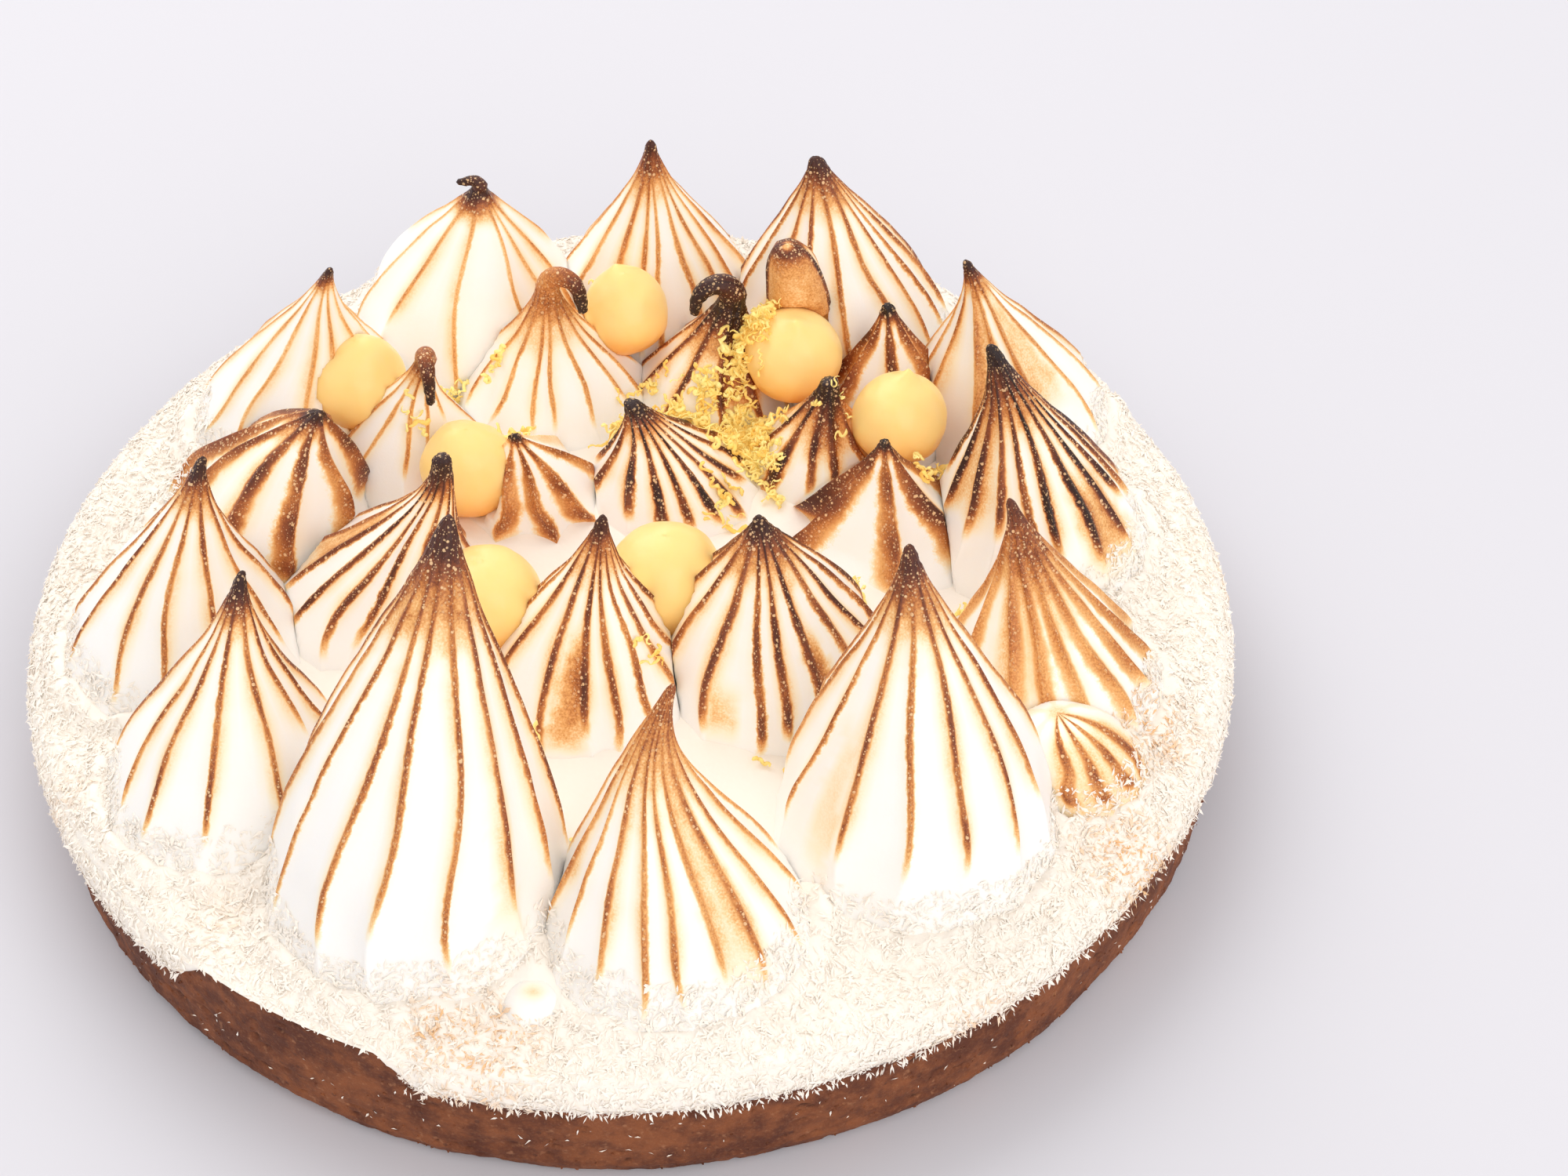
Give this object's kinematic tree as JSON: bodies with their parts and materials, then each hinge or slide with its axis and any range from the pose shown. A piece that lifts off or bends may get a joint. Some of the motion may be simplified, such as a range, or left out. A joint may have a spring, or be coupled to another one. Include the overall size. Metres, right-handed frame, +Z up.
{
  "type": "lemon meringue pie",
  "caption": "Round lemon meringue pie: a shortcrust case topped with coconut, torched piped meringue kisses, balls of lemon curd and lemon zest.",
  "frame": {"origin": "middle of the flat underside, on the surface the pie stands on", "axes": "+Z up, the shortest way through the pie; -Y towards the front, +X to the right"},
  "size_m": [0.1998, 0.2001, 0.0888],
  "materials": {
    "shortcrust": "baked, mottled brown, matte and crumbly",
    "coconut": "desiccated coconut over meringue, white with cream flecks",
    "meringue": "soft satin meringue, torched brown along its ridges and black at its tips",
    "lemon_curd": "set lemon curd, smooth and slightly see-through"
  },
  "bodies": {
    "root": {"coconut_top": "coconut", "crust": "shortcrust", "curd_back": "lemon_curd", "curd_back_left": "lemon_curd", "curd_back_right": "lemon_curd", "curd_front": "lemon_curd", "curd_left": "lemon_curd", "curd_middle": "lemon_curd", "curd_right": "lemon_curd", "kiss_back": "meringue", "kiss_back_left": "meringue", "kiss_back_mid_left": "meringue", "kiss_back_mid_right": "meringue", "kiss_back_right": "meringue", "kiss_blunt": "meringue", "kiss_blunt_right": "meringue", "kiss_curl": "meringue", "kiss_finger": "meringue", "kiss_front": "meringue", "kiss_front_left": "meringue", "kiss_front_right": "meringue", "kiss_hook_left": "meringue", "kiss_hook_mid": "meringue", "kiss_left": "meringue", "kiss_left_front": "meringue", "kiss_left_petals": "meringue", "kiss_low_left": "meringue", "kiss_low_right": "meringue", "kiss_middle": "meringue", "kiss_middle_left": "meringue", "kiss_middle_right": "meringue", "kiss_petals_back": "meringue", "kiss_petals_left": "meringue", "kiss_petals_mid": "meringue", "kiss_right": "meringue", "kiss_right_front": "meringue", "kiss_right_lump": "meringue"}
  },
  "joints": []
}
